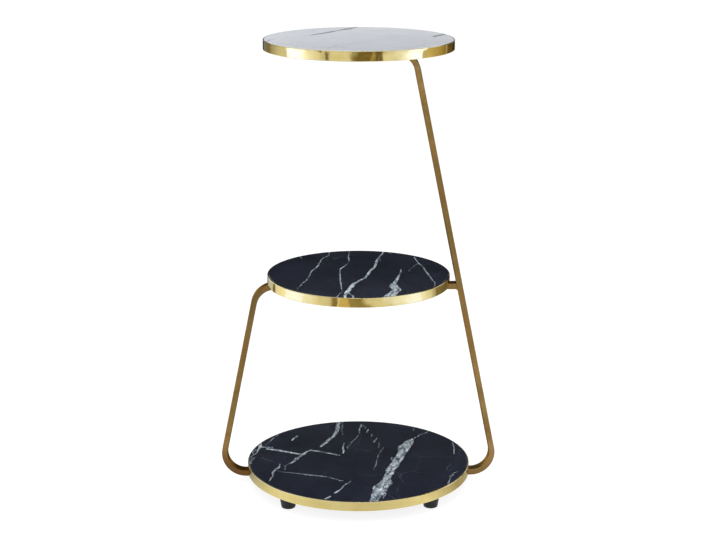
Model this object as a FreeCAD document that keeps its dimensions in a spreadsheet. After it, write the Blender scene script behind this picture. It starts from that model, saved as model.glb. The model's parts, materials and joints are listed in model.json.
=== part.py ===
import FreeCAD, Part
import Sketcher
import math
import os

# Tiered side table: three round stone-topped tiers, one above another, carried on one upright
# frame of bent rectangular tube that lies in the XZ plane.
# Millimetres, +Z up. The origin is on the floor, under the middle of the three tiers.

DOC = FreeCAD.newDocument("TieredSideTable")

# ---------------------------------------------------------------------------------------------
# Driving dimensions
# ---------------------------------------------------------------------------------------------

DIMENSIONS = [
    ("overall_height", 762.0, "floor to the face of the top board"),
    ("middle_height", 370.0, "floor to the face of the middle board"),
    ("bottom_height", 38.0, "floor to the face of the bottom board"),
    ("top_diameter", 310.0, "top tier over its band"),
    ("middle_diameter", 305.0, "middle tier over its band"),
    ("bottom_diameter", 380.0, "bottom tier over its band"),
    ("board_thickness", 8.0, "stone board"),
    ("panel_thickness", 8.5, "backing panel under the board"),
    ("band_thickness", 2.0, "wall of the edge band"),
    ("band_reveal", 0.4, "how far the board's face stands above the band"),
    ("band_clearance", 0.15, "between the band and what it surrounds"),
    ("board_bevel", 0.6, "bevel round the board's face"),
    ("band_easing", 0.8, "rounding of the band's outer edges"),
    ("tube_face", 10.0, "tube, measured in the plane of the frame"),
    ("tube_depth", 20.0, "tube, measured across the plane of the frame"),
    ("tube_wall", 1.2, "wall of the tube"),
    ("tube_corner", 1.6, "outer corner radius of the tube"),
    ("bend_radius", 36.0, "every bend, on the tube's centre line"),
    ("bottom_corner_gap", 47.0, "bottom rim to the frame's lower corners, on the centre line"),
    ("middle_corner_gap", 17.0, "middle rim to the post and to the upper corner, on the centre line"),
    ("run_end_inset", 40.0, "top rim to the open end of the top run"),
    ("weld_gap", 1.2, "width of a butt weld"),
    ("weld_radius", 5.0, "hollow face of the weld under the stub"),
    ("seam_drop", 7.0, "underside of the middle run to the butt weld on the post"),
    ("tab_length", 28.0, "mounting tab, along the tube"),
    ("tab_reach", 32.0, "mounting tab, out from the side of the tube"),
    ("tab_thickness", 3.0, "mounting tab"),
    ("tab_corner", 5.0, "outer corners of the mounting tab"),
    ("tab_screw_offset", 20.0, "side of the tube to the screw"),
    ("middle_tab_pitch", 200.0, "between the tabs of the middle tier"),
    ("bottom_tab_pitch", 220.0, "between the tabs of the bottom tier"),
    ("tab_run_margin", 1.0, "a top tab to the end of the straight run beside it"),
    ("plug_flange", 2.0, "end plug, outside the tube"),
    ("plug_depth", 14.0, "end plug, inside the tube"),
    ("plug_clearance", 0.1, "end plug to the inside of the tube, each side"),
    ("screw_diameter", 4.8, "shank of every screw"),
    ("screw_head", 9.5, "head of every screw"),
    ("screw_head_height", 3.0, "head of every screw"),
    ("screw_head_easing", 1.4, "rounding of the screw head"),
    ("screw_socket", 3.0, "hexagon socket, across flats"),
    ("screw_socket_depth", 1.8, "hexagon socket"),
    ("screw_play", 0.35, "shank to a plain hole, each side"),
    ("thread_play", 0.1, "shank to the bore of an insert, each side"),
    ("insert_wall", 1.5, "wall of a threaded insert"),
    ("insert_play", 0.05, "insert to its hole, each side"),
    ("insert_cover", 1.0, "panel left above the hole of an insert"),
    ("insert_relief", 0.5, "room in the hole above the insert"),
    ("screw_stop", 1.0, "tip of a screw to the upper end of its insert"),
    ("foot_inset", 23.0, "bottom rim to the axis of a foot"),
    ("foot_top", 30.0, "foot diameter under the panel"),
    ("foot_base", 23.0, "foot diameter at the floor"),
    ("foot_easing", 2.0, "rounding of the foot's lower edge"),
    ("foot_recess", 13.0, "diameter of the recess for washer and screw head"),
    ("foot_recess_depth", 8.0, "depth of that recess"),
    ("washer_play", 0.3, "washer to the wall of the recess"),
    ("washer_thickness", 1.2, "washer in the recess"),
]


def make_sheet():
    """Spreadsheet with one plain number a row, each under its own alias."""
    sheet = DOC.addObject("Spreadsheet::Sheet", "Dims")
    for row, (alias, number, note) in enumerate(DIMENSIONS, start=1):
        sheet.set(f"A{row}", alias)
        sheet.set(f"B{row}", str(number))
        sheet.set(f"C{row}", note)
        sheet.setAlias(f"B{row}", alias)
    DOC.recompute()
    return sheet


SHEET = make_sheet()
NAMES = [alias for alias, _, _ in DIMENSIONS]


def formula(text):
    """Expression in which each dimension's alias is written out as a cell of the sheet."""
    words = []
    word = ""
    for letter in text + " ":
        if letter.isalnum() or letter == "_":
            word += letter
            continue
        words.append(f"Dims.{word}" if word in NAMES else word)
        words.append(letter)
        word = ""
    return "".join(words).strip()


def number(text):
    """Present value of a formula, for the first guess of a sketch and for choosing edges."""
    result = SHEET.evalExpression(formula(text))
    return float(getattr(result, "Value", result))


# ---------------------------------------------------------------------------------------------
# Sizes and places worked out from the driving dimensions, as formulas
# ---------------------------------------------------------------------------------------------

TIER_THICKNESS = "(board_thickness + panel_thickness)"
HEIGHT = {"top": "overall_height", "middle": "middle_height", "bottom": "bottom_height"}
DIAMETER = {"top": "top_diameter", "middle": "middle_diameter", "bottom": "bottom_diameter"}
UNDERSIDE = {tier: f"({face} - {TIER_THICKNESS})" for tier, face in HEIGHT.items()}
RUN = {tier: f"({level} - tube_face / 2)" for tier, level in UNDERSIDE.items()}

# Centre line of the frame: its theoretical corners, before the bends round them off.
LOWER_CORNER = "(bottom_diameter / 2 + bottom_corner_gap)"
UPPER_CORNER = "(middle_diameter / 2 + middle_corner_gap)"
LEAN_SLOPE = f"(({LOWER_CORNER} - {UPPER_CORNER}) / ({RUN['middle']} - {RUN['bottom']}))"
LEAN = f"atan({LEAN_SLOPE})"


def post_x(level):
    """Centre line of the right post at a height."""
    return f"({LOWER_CORNER} - ({level} - {RUN['bottom']}) * {LEAN_SLOPE})"


def post_face_x(level):
    """Inner face of the right post at a height."""
    return f"({post_x(level)} - tube_face / 2 / cos({LEAN}))"


TOP_CORNER = post_x(RUN["top"])
BEND_SETBACK = f"(bend_radius * tan((90 deg - {LEAN}) / 2))"
TOP_RUN_START = "(run_end_inset - top_diameter / 2)"
TOP_RUN_END = f"({TOP_CORNER} - {BEND_SETBACK})"
STUB_UNDERSIDE = f"({RUN['middle']} - tube_face / 2)"
SEAM_LEVEL = f"({STUB_UNDERSIDE} - seam_drop)"

# Screws, and what they go through and into.
PLAIN_HOLE = "(screw_diameter + 2 * screw_play)"
INSERT_BORE = "(screw_diameter + 2 * thread_play)"
INSERT_DIAMETER = f"({INSERT_BORE} + 2 * insert_wall)"
INSERT_HOLE = f"({INSERT_DIAMETER} + 2 * insert_play)"
INSERT_HOLE_DEPTH = "(panel_thickness - insert_cover)"
INSERT_LENGTH = f"({INSERT_HOLE_DEPTH} - insert_relief)"
SCREW_GRIP = f"({INSERT_LENGTH} - screw_stop)"
WASHER_DIAMETER = "(foot_recess - 2 * washer_play)"

# Screw places under each tier: x of the left and right tabs, and y either side of the tube.
TAB_X = {
    "top": (
        f"({TOP_RUN_START} + tab_run_margin + tab_length / 2)",
        f"({TOP_RUN_END} - tab_run_margin - tab_length / 2)",
    ),
    "middle": ("(-middle_tab_pitch / 2)", "(middle_tab_pitch / 2)"),
    "bottom": ("(-bottom_tab_pitch / 2)", "(bottom_tab_pitch / 2)"),
}
SCREW_Y = "(tube_depth / 2 + tab_screw_offset)"
TAB_Y = "(tube_depth / 2 + tab_reach / 2)"
FOOT_OFFSET = "((bottom_diameter / 2 - foot_inset) * cos(45 deg))"
FOOT_SPOTS = [(f"({i}{FOOT_OFFSET})", f"({j}{FOOT_OFFSET})") for i in ("-", "") for j in ("-", "")]


def tab_spots(tier, offset):
    """The four places (x, y) under a tier, at a given distance either side of the frame."""
    return [(x, y) for x in TAB_X[tier] for y in (f"(-{offset})", offset)]


# ---------------------------------------------------------------------------------------------
# Helpers: bodies, sketches and features
# ---------------------------------------------------------------------------------------------

BODIES = []
ORIGIN_POINT = (-1, 1)


def new_body(label):
    body = DOC.addObject("PartDesign::Body", label)
    body.Label = label
    BODIES.append(body)
    return body


def new_sketch(body, name, plane="XY_Plane", out="0", across="0", up="0"):
    """Sketch on one of the body's own origin planes, moved out along the plane's normal and
    within the plane by formulas."""
    sketch = body.newObject("Sketcher::SketchObject", name)
    support = next(item for item in body.Origin.OriginFeatures if item.Role == plane)
    sketch.AttachmentSupport = (support, "")
    sketch.MapMode = "FlatFace"
    for axis, shift in (("x", across), ("y", up), ("z", out)):
        if shift != "0":
            sketch.setExpression(f".AttachmentOffset.Base.{axis}", formula(shift) + " * 1 mm")
    return sketch


def constrain(sketch, kind, refs, size=None):
    """Adds a constraint. One with a size starts at the formula's value and is bound to it."""
    if size is None:
        return sketch.addConstraint(Sketcher.Constraint(kind, *refs))
    index = sketch.addConstraint(Sketcher.Constraint(kind, *refs, number(size)))
    name = f"size_{index}"
    sketch.renameConstraint(index, name)
    sketch.setExpression(f"Constraints.{name}", formula(size) + " * 1 mm")
    return index


def place_point(sketch, element, x, y):
    """Fixes a point of the sketch at a pair of formulas, measured from the sketch's origin."""
    for kind, size in (("DistanceX", x), ("DistanceY", y)):
        constrain(sketch, kind, (*ORIGIN_POINT, *element), size)


def circle(sketch, diameter, x=None, y=None):
    centre = FreeCAD.Vector(number(x) if x else 0, number(y) if y else 0, 0)
    item = sketch.addGeometry(Part.Circle(centre, FreeCAD.Vector(0, 0, 1), number(diameter) / 2))
    if x is None:
        constrain(sketch, "Coincident", (item, 3, *ORIGIN_POINT))
    else:
        place_point(sketch, (item, 3), x, y)
    constrain(sketch, "Diameter", (item,), diameter)
    return item


def polygon(sketch, points):
    """Closed outline through points given as pairs of formulas."""
    places = [FreeCAD.Vector(number(x), number(y), 0) for x, y in points]
    sides = []
    for index, start in enumerate(places):
        end = places[(index + 1) % len(places)]
        sides.append(sketch.addGeometry(Part.LineSegment(start, end)))
    for index, side in enumerate(sides):
        constrain(sketch, "Coincident", (side, 2, sides[(index + 1) % len(sides)], 1))
        place_point(sketch, (side, 1), *points[index])
    return sides


def hexagon(sketch, across_flats, x, y):
    """Regular hexagon round a point, with two sides upright."""
    centre = FreeCAD.Vector(number(x), number(y), 0)
    reach = number(across_flats) / math.sqrt(3)
    corners = []
    for step in range(6):
        turn = math.radians(30 + 60 * step)
        corners.append(centre + FreeCAD.Vector(reach * math.cos(turn), reach * math.sin(turn), 0))
    ring = sketch.addGeometry(Part.Circle(centre, FreeCAD.Vector(0, 0, 1), reach), True)
    place_point(sketch, (ring, 3), x, y)
    constrain(sketch, "Radius", (ring,), f"({across_flats} / sqrt(3))")
    sides = []
    for step, corner in enumerate(corners):
        sides.append(sketch.addGeometry(Part.LineSegment(corner, corners[(step + 1) % 6])))
    for step, side in enumerate(sides):
        constrain(sketch, "Coincident", (side, 2, sides[(step + 1) % 6], 1))
        constrain(sketch, "PointOnObject", (side, 1, ring))
    for side in sides[1:]:
        constrain(sketch, "Equal", (sides[0], side))
    constrain(sketch, "Vertical", (sides[5],))


def rounded_rectangle(sketch, width, height, radius):
    """Rounded rectangle centred on the sketch's origin."""
    half_w, half_h, turn = number(width) / 2, number(height) / 2, number(radius)
    inner_w, inner_h = half_w - turn, half_h - turn
    corners = [(inner_w, -inner_h), (inner_w, inner_h), (-inner_w, inner_h), (-inner_w, -inner_h)]
    ends = [
        ((-inner_w, -half_h), (inner_w, -half_h)),
        ((half_w, -inner_h), (half_w, inner_h)),
        ((inner_w, half_h), (-inner_w, half_h)),
        ((-half_w, inner_h), (-half_w, -inner_h)),
    ]
    chain = []
    for quarter, (start, end) in enumerate(ends):
        line = Part.LineSegment(FreeCAD.Vector(*start, 0), FreeCAD.Vector(*end, 0))
        centre = FreeCAD.Vector(*corners[quarter], 0)
        ring = Part.Circle(centre, FreeCAD.Vector(0, 0, 1), turn)
        first = math.radians(90 * (quarter - 1))
        arc = Part.ArcOfCircle(ring, first, first + math.pi / 2)
        chain.append(sketch.addGeometry(line))
        chain.append(sketch.addGeometry(arc))
    for index, item in enumerate(chain):
        constrain(sketch, "Tangent", (item, 2, chain[(index + 1) % 8], 1))
    bottom, first_arc, right, second_arc, top, third_arc, left, fourth_arc = chain
    for side in (bottom, top):
        constrain(sketch, "Horizontal", (side,))
    for side in (right, left):
        constrain(sketch, "Vertical", (side,))
    for arc in (second_arc, third_arc, fourth_arc):
        constrain(sketch, "Equal", (first_arc, arc))
    constrain(sketch, "Symmetric", (first_arc, 3, third_arc, 3, *ORIGIN_POINT))
    constrain(sketch, "Radius", (first_arc,), radius)
    constrain(sketch, "DistanceX", (left, 1, right, 1), width)
    constrain(sketch, "DistanceY", (bottom, 1, top, 1), height)


def bent_path(sketch, corners):
    """Open path of straight runs through corners given as pairs of formulas, each inner corner
    rounded off by an arc of the bend radius."""
    places = [FreeCAD.Vector(number(x), number(y), 0) for x, y in corners]
    radius = number("bend_radius")
    pieces = []
    run_start = places[0]
    for before, corner, after in zip(places, places[1:], places[2:]):
        back = (before - corner).normalize()
        onward = (after - corner).normalize()
        half = back.getAngle(onward) / 2
        arc_start = corner + back * (radius / math.tan(half))
        arc_end = corner + onward * (radius / math.tan(half))
        centre = corner + (back + onward).normalize() * (radius / math.sin(half))
        middle = centre + (corner - centre).normalize() * radius
        left_turn = back.cross(onward).z < 0
        arc = Part.Arc(arc_start, middle, arc_end)
        if not left_turn:
            arc = Part.Arc(arc_end, middle, arc_start)
        pieces.append(("run", Part.LineSegment(run_start, arc_start), True))
        pieces.append(("bend", arc, left_turn))
        run_start = arc_end
    pieces.append(("run", Part.LineSegment(run_start, places[-1]), True))

    items = [sketch.addGeometry(shape) for _, shape, _ in pieces]
    entries = [(item, 1 if forward else 2) for item, (_, _, forward) in zip(items, pieces)]
    exits = [(item, 2 if forward else 1) for item, (_, _, forward) in zip(items, pieces)]
    place_point(sketch, entries[0], *corners[0])
    place_point(sketch, exits[-1], *corners[-1])
    for leaving, entering in zip(exits, entries[1:]):
        constrain(sketch, "Tangent", (*leaving, *entering))
    for bend in items[1::2]:
        constrain(sketch, "Radius", (bend,), "bend_radius")
    for index, (corner, place) in enumerate(zip(corners[1:-1], places[1:-1])):
        mark = sketch.addGeometry(Part.Point(place), True)
        place_point(sketch, (mark, 1), *corner)
        constrain(sketch, "PointOnObject", (mark, 1, items[2 * index]))
        constrain(sketch, "PointOnObject", (mark, 1, items[2 * index + 2]))
    return [f"Edge{count}" for count in range(1, len(items) + 1)]


def pad(body, sketch, length, midplane=False):
    feature = body.newObject("PartDesign::Pad", f"{body.Name}_pad")
    feature.Profile = sketch
    feature.setExpression("Length", formula(length) + " * 1 mm")
    feature.Midplane = midplane
    sketch.Visibility = False
    DOC.recompute()
    return feature


def cut_by(body, feature, before):
    """Recomputes and makes sure that a cutting feature really took material away."""
    DOC.recompute()
    if body.Shape.Volume > before - 1e-6:
        raise RuntimeError(f"{feature.Name} in {body.Label} cut nothing")
    return feature


def pocket(body, sketch, depth, upward):
    """Cuts a sketch into the body, upward or downward from its plane."""
    before = body.Shape.Volume
    feature = body.newObject("PartDesign::Pocket", f"{body.Name}_pocket")
    feature.Profile = sketch
    feature.Reversed = upward
    feature.setExpression("Length", formula(depth) + " * 1 mm")
    return cut_by(body, feature, before)


def pocket_across(body, sketch):
    """Cuts a sketch right through the body, both ways from its plane."""
    before = body.Shape.Volume
    feature = body.newObject("PartDesign::Pocket", f"{body.Name}_trim")
    feature.Profile = sketch
    feature.Midplane = True
    feature.Type = "ThroughAll"
    return cut_by(body, feature, before)


def edges_where(feature, test):
    """Names of the feature's edges whose curve and box pass a test."""
    return [f"Edge{i}" for i, edge in enumerate(feature.Shape.Edges, start=1) if test(edge)]


def is_ring(edge, diameter, level):
    """Whether an edge is a full circle of a diameter, lying at a height."""
    box = edge.BoundBox
    if not isinstance(edge.Curve, Part.Circle) or box.ZLength > 1e-3:
        return False
    return abs(edge.Curve.Radius - number(diameter) / 2) < 1e-3 and abs(box.ZMin - number(level)) < 1e-3


def is_upright_at(edge, half_width):
    """Whether an edge runs straight up at a distance from the XZ plane."""
    box = edge.BoundBox
    upright = box.XLength < 1e-3 and box.YLength < 1e-3
    return upright and abs(abs(box.YMin) - number(half_width)) < 1e-3


def dress(body, kind, edges, size):
    """Fillet or chamfer on named edges of the body's last feature."""
    base = body.Tip
    feature = body.newObject(f"PartDesign::{kind}", f"{body.Name}_{kind.lower()}")
    feature.Base = (base, edges)
    dimension = "Radius" if kind == "Fillet" else "Size"
    feature.setExpression(dimension, formula(size) + " * 1 mm")
    body.Tip = feature
    DOC.recompute()
    return feature


def ring_profile(sketch, spots, outer, inner):
    for x, y in spots:
        circle(sketch, outer, x, y)
        circle(sketch, inner, x, y)


# ---------------------------------------------------------------------------------------------
# Tiers: board, backing panel, band and inserts
# ---------------------------------------------------------------------------------------------

INNER_DIAMETER = {
    tier: f"({diameter} - 2 * band_thickness - 2 * band_clearance)"
    for tier, diameter in DIAMETER.items()
}


def board(tier):
    """Stone disc with a fine bevel round its face."""
    body = new_body(f"{tier}_board")
    outline = new_sketch(body, "outline", out=f"({HEIGHT[tier]} - board_thickness)")
    circle(outline, INNER_DIAMETER[tier])
    slab = pad(body, outline, "board_thickness")
    face_edge = edges_where(slab, lambda edge: is_ring(edge, INNER_DIAMETER[tier], HEIGHT[tier]))
    dress(body, "Chamfer", face_edge, "board_bevel")


def backing_panel(tier, spots):
    """Disc under the board, with a blind hole from below for each threaded insert."""
    body = new_body(f"{tier}_backing_panel")
    outline = new_sketch(body, "outline", out=UNDERSIDE[tier])
    circle(outline, INNER_DIAMETER[tier])
    pad(body, outline, "panel_thickness")
    holes = new_sketch(body, "insert_holes", out=UNDERSIDE[tier])
    for x, y in spots:
        circle(holes, INSERT_HOLE, x, y)
    pocket(body, holes, INSERT_HOLE_DEPTH, upward=True)


def band(tier):
    """Upright strip rolled into a ring round board and panel."""
    body = new_body(f"{tier}_band")
    ring = new_sketch(body, "ring", out=UNDERSIDE[tier])
    circle(ring, DIAMETER[tier])
    circle(ring, f"({DIAMETER[tier]} - 2 * band_thickness)")
    strip = pad(body, ring, f"({TIER_THICKNESS} - band_reveal)")
    levels = (UNDERSIDE[tier], f"({HEIGHT[tier]} - band_reveal)")
    outer = [
        name
        for level in levels
        for name in edges_where(strip, lambda edge: is_ring(edge, DIAMETER[tier], level))
    ]
    dress(body, "Fillet", outer, "band_easing")


def inserts(label, tier, spots):
    """Threaded inserts pressed into the backing panel, flush with its underside."""
    body = new_body(label)
    sleeve = new_sketch(body, "sleeves", out=UNDERSIDE[tier])
    ring_profile(sleeve, spots, INSERT_DIAMETER, INSERT_BORE)
    pad(body, sleeve, INSERT_LENGTH)


# ---------------------------------------------------------------------------------------------
# Screws, tabs and feet
# ---------------------------------------------------------------------------------------------


def screws(label, spots, seat, shank):
    """Socket screws that point up: heads under the seat, shanks of a length above it."""
    body = new_body(label)
    underside = f"({seat} - screw_head_height)"
    heads = new_sketch(body, "heads", out=underside)
    for x, y in spots:
        circle(heads, "screw_head", x, y)
    blanks = pad(body, heads, "screw_head_height")
    rims = edges_where(blanks, lambda edge: is_ring(edge, "screw_head", underside))
    dress(body, "Fillet", rims, "screw_head_easing")
    stems = new_sketch(body, "shanks", out=seat)
    for x, y in spots:
        circle(stems, "screw_diameter", x, y)
    pad(body, stems, shank)
    sockets = new_sketch(body, "sockets", out=underside)
    for x, y in spots:
        hexagon(sockets, "screw_socket", x, y)
    pocket(body, sockets, "screw_socket_depth", upward=True)


def mount_tabs(tier):
    """Four flat tabs welded to the sides of the tube, flush with its top face."""
    body = new_body(f"{tier}_mount_tabs")
    plan = new_sketch(body, "plan", out=f"({UNDERSIDE[tier]} - tab_thickness)")
    for x, y in tab_spots(tier, TAB_Y):
        left, right = f"({x} - tab_length / 2)", f"({x} + tab_length / 2)"
        near, far = f"({y} - tab_reach / 2)", f"({y} + tab_reach / 2)"
        polygon(plan, [(left, near), (right, near), (right, far), (left, far)])
    for x, y in tab_spots(tier, SCREW_Y):
        circle(plan, PLAIN_HOLE, x, y)
    plates = pad(body, plan, "tab_thickness")
    outer_side = "(tube_depth / 2 + tab_reach)"
    corners = edges_where(plates, lambda edge: is_upright_at(edge, outer_side))
    dress(body, "Fillet", corners, "tab_corner")


def foot(label, x, y):
    """Tapered foot turned about its own axis, recessed from below for washer and screw head."""
    body = new_body(label)
    section = new_sketch(body, "section", plane="XZ_Plane")
    bore = f"({PLAIN_HOLE} / 2)"
    polygon(
        section,
        [
            (bore, UNDERSIDE["bottom"]),
            (bore, "foot_recess_depth"),
            ("foot_recess / 2", "foot_recess_depth"),
            ("foot_recess / 2", "0"),
            ("foot_base / 2", "0"),
            ("foot_top / 2", UNDERSIDE["bottom"]),
        ],
    )
    turned = body.newObject("PartDesign::Revolution", f"{body.Name}_turned")
    turned.Profile = section
    turned.ReferenceAxis = (section, ["V_Axis"])
    turned.Angle = 360
    DOC.recompute()
    dress(body, "Fillet", edges_where(turned, lambda edge: is_ring(edge, "foot_base", "0")), "foot_easing")
    body.setExpression("Placement.Base.x", formula(x) + " * 1 mm")
    body.setExpression("Placement.Base.y", formula(y) + " * 1 mm")


def foot_washers():
    """Washers at the top of the recesses in the feet."""
    body = new_body("foot_washers")
    plan = new_sketch(body, "plan", out="(foot_recess_depth - washer_thickness)")
    ring_profile(plan, FOOT_SPOTS, WASHER_DIAMETER, PLAIN_HOLE)
    pad(body, plan, "washer_thickness")


# ---------------------------------------------------------------------------------------------
# Frame: three bent tubes, their welds and the end plug
# ---------------------------------------------------------------------------------------------

TUBE_BORE_FACE = "(tube_face - 2 * tube_wall)"
TUBE_BORE_DEPTH = "(tube_depth - 2 * tube_wall)"
TUBE_BORE_CORNER = "(tube_corner - tube_wall)"


def tube_section(sketch, along, across):
    """Section of the tube, with its two sizes in the order in which the sketch needs them."""
    bores = {"tube_depth": TUBE_BORE_DEPTH, "tube_face": TUBE_BORE_FACE}
    rounded_rectangle(sketch, along, across, "tube_corner")
    rounded_rectangle(sketch, bores[along], bores[across], TUBE_BORE_CORNER)


def bent_tube(label, corners):
    """Tube that starts along a level run and follows a path through corners in the XZ plane."""
    body = new_body(label)
    start_x, start_z = corners[0]
    path = new_sketch(body, "path", plane="XZ_Plane")
    edges = bent_path(path, corners)
    section = new_sketch(body, "section", plane="YZ_Plane", out=start_x, up=start_z)
    tube_section(section, "tube_depth", "tube_face")
    DOC.recompute()
    pipe = body.newObject("PartDesign::AdditivePipe", f"{body.Name}_pipe")
    pipe.Profile = section
    pipe.Spine = (path, edges)
    pipe.Mode = "Standard"
    DOC.recompute()
    return body


def seam_point(shift):
    """Place on the post's centre line, a distance along it above the seam."""
    level = f"({SEAM_LEVEL} + ({shift}) * cos({LEAN}))"
    return post_x(level), level


def upper_arm_tube():
    """Top run, upper bend and the post down to the seam under the stub."""
    corners = [(TOP_RUN_START, RUN["top"]), (TOP_CORNER, RUN["top"]), seam_point("weld_gap / 2")]
    bent_tube("upper_arm_tube", corners)


def right_leg_tube():
    """Right half of the bottom run, lower bend and the right leg up to the seam."""
    corners = [
        ("(weld_gap / 2)", RUN["bottom"]),
        (LOWER_CORNER, RUN["bottom"]),
        seam_point("-weld_gap / 2"),
    ]
    bent_tube("right_leg_tube", corners)


def left_leg_tube():
    """Left half of the bottom run, left leg and the middle run, cut to the slope of the post."""
    level = RUN["middle"]
    corners = [
        ("(-weld_gap / 2)", RUN["bottom"]),
        (f"(-{LOWER_CORNER})", RUN["bottom"]),
        (f"(-{UPPER_CORNER})", level),
        (post_x(level), level),
    ]
    body = bent_tube("left_leg_tube", corners)
    low, high = f"({level} - tube_face)", f"({level} + tube_face)"
    beyond = f"({post_x(level)} + tube_face * 2)"
    trim = new_sketch(body, "post_side", plane="XZ_Plane")
    polygon(trim, [(post_face_x(low), low), (beyond, low), (beyond, high), (post_face_x(high), high)])
    pocket_across(body, trim)


def base_seam_weld():
    """Butt weld between the halves of the bottom run, ground flush."""
    body = new_body("base_seam_weld")
    section = new_sketch(body, "section", plane="YZ_Plane", up=RUN["bottom"])
    tube_section(section, "tube_depth", "tube_face")
    pad(body, section, "weld_gap", midplane=True)


def post_seam_weld():
    """Butt weld between the upper arm and the right leg, ground flush, square to the post."""
    body = new_body("post_seam_weld")
    section = new_sketch(body, "section")
    tube_section(section, "tube_face", "tube_depth")
    pad(body, section, "weld_gap", midplane=True)
    turn = FreeCAD.Rotation(FreeCAD.Vector(0, -1, 0), number(LEAN))
    body.Placement = FreeCAD.Placement(FreeCAD.Vector(), turn)
    x, z = seam_point("0")
    body.setExpression("Placement.Base.x", formula(x) + " * 1 mm")
    body.setExpression("Placement.Base.z", formula(z) + " * 1 mm")
    body.setExpression("Placement.Rotation.Angle", formula(LEAN))
    DOC.recompute()


def stub_weld():
    """Hollow-faced weld in the corner between the middle run's underside and the post."""
    body = new_body("stub_weld")
    corner_x = post_face_x(STUB_UNDERSIDE)
    setback = f"(weld_radius * tan((90 deg - {LEAN}) / 2))"
    foot_x = f"({corner_x} + {setback} * sin({LEAN}))"
    foot_z = f"({STUB_UNDERSIDE} - {setback} * cos({LEAN}))"
    toe_x = f"({corner_x} - {setback})"
    corner = FreeCAD.Vector(number(corner_x), number(STUB_UNDERSIDE), 0)
    toe = FreeCAD.Vector(number(toe_x), number(STUB_UNDERSIDE), 0)
    heel = FreeCAD.Vector(number(foot_x), number(foot_z), 0)
    centre = toe - FreeCAD.Vector(0, number("weld_radius"), 0)
    middle = centre + (corner - centre).normalize() * number("weld_radius")

    section = new_sketch(body, "section", plane="XZ_Plane")
    along_run = section.addGeometry(Part.LineSegment(toe, corner))
    along_post = section.addGeometry(Part.LineSegment(corner, heel))
    hollow = section.addGeometry(Part.Arc(heel, middle, toe))
    place_point(section, (along_run, 2), corner_x, STUB_UNDERSIDE)
    constrain(section, "Coincident", (along_run, 2, along_post, 1))
    constrain(section, "Horizontal", (along_run,))
    constrain(section, "Tangent", (along_post, 2, hollow, 1))
    constrain(section, "Tangent", (hollow, 2, along_run, 1))
    constrain(section, "Radius", (hollow,), "weld_radius")
    constrain(section, "DistanceX", (*ORIGIN_POINT, along_post, 2), foot_x)
    pad(body, section, "(tube_depth - 2 * tube_corner)", midplane=True)


def top_run_end_plug():
    """Push-in plug that closes the open end of the top run."""
    body = new_body("top_run_end_plug")
    core = new_sketch(body, "core", plane="YZ_Plane", out=TOP_RUN_START, up=RUN["top"])
    core_depth = f"({TUBE_BORE_DEPTH} - 2 * plug_clearance)"
    core_face = f"({TUBE_BORE_FACE} - 2 * plug_clearance)"
    rounded_rectangle(core, core_depth, core_face, TUBE_BORE_CORNER)
    pad(body, core, "plug_depth")
    flange_start = f"({TOP_RUN_START} - plug_flange)"
    flange = new_sketch(body, "flange", plane="YZ_Plane", out=flange_start, up=RUN["top"])
    rounded_rectangle(flange, "tube_depth", "tube_face", "tube_corner")
    pad(body, flange, "plug_flange")


# ---------------------------------------------------------------------------------------------
# The table
# ---------------------------------------------------------------------------------------------


def tier_pieces(tier):
    spots = tab_spots(tier, SCREW_Y)
    feet_here = FOOT_SPOTS if tier == "bottom" else []
    board(tier)
    backing_panel(tier, spots + feet_here)
    band(tier)
    mount_tabs(tier)
    inserts(f"{tier}_inserts", tier, spots)
    seat = f"({UNDERSIDE[tier]} - tab_thickness)"
    screws(f"{tier}_tab_screws", spots, seat, f"(tab_thickness + {SCREW_GRIP})")


def feet():
    sides = {"-": ("left", "front"), "": ("right", "rear")}
    for i, (side, _) in sides.items():
        for j, (_, end) in sides.items():
            foot(f"foot_{end}_{side}", f"({i}{FOOT_OFFSET})", f"({j}{FOOT_OFFSET})")
    foot_washers()
    inserts("foot_inserts", "bottom", FOOT_SPOTS)
    seat = "(foot_recess_depth - washer_thickness)"
    screws("foot_screws", FOOT_SPOTS, seat, f"({UNDERSIDE['bottom']} - {seat} + {SCREW_GRIP})")


def frame():
    upper_arm_tube()
    right_leg_tube()
    left_leg_tube()
    base_seam_weld()
    post_seam_weld()
    stub_weld()
    top_run_end_plug()


GROUPS_OF_FOUR = [f"{tier}_{kind}" for tier in HEIGHT for kind in ("mount_tabs", "tab_screws", "inserts")]
GROUPS_OF_FOUR += ["foot_washers", "foot_inserts", "foot_screws"]


def check():
    """Stops before anything is written if an object failed or a piece has the wrong solids."""
    DOC.recompute()
    for item in DOC.Objects:
        if "Invalid" in item.State or "Error" in item.State:
            raise RuntimeError(f"{item.Name} failed: {item.State}")
    for body in BODIES:
        shape = body.Shape
        wanted = 4 if body.Label in GROUPS_OF_FOUR else 1
        if shape.isNull() or not shape.isValid() or len(shape.Solids) != wanted:
            raise RuntimeError(f"{body.Label} isn't {wanted} sound solid(s)")
        if shape.Volume <= 0:
            raise RuntimeError(f"{body.Label} has no volume")


def write_parts():
    os.makedirs("parts", exist_ok=True)
    for body in BODIES:
        body.Shape.exportStep(f"parts/{body.Label}.step")
        print(f"{body.Label}: {body.Shape.Volume / 1000:.2f} cm3")


for name in HEIGHT:
    tier_pieces(name)
frame()
feet()
check()
write_parts()
print(f"{len(BODIES)} nodes, posts lean {number(LEAN):.2f} degrees")
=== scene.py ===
import bmesh
import bpy
import json
import math
from mathutils import Matrix, Vector


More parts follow.
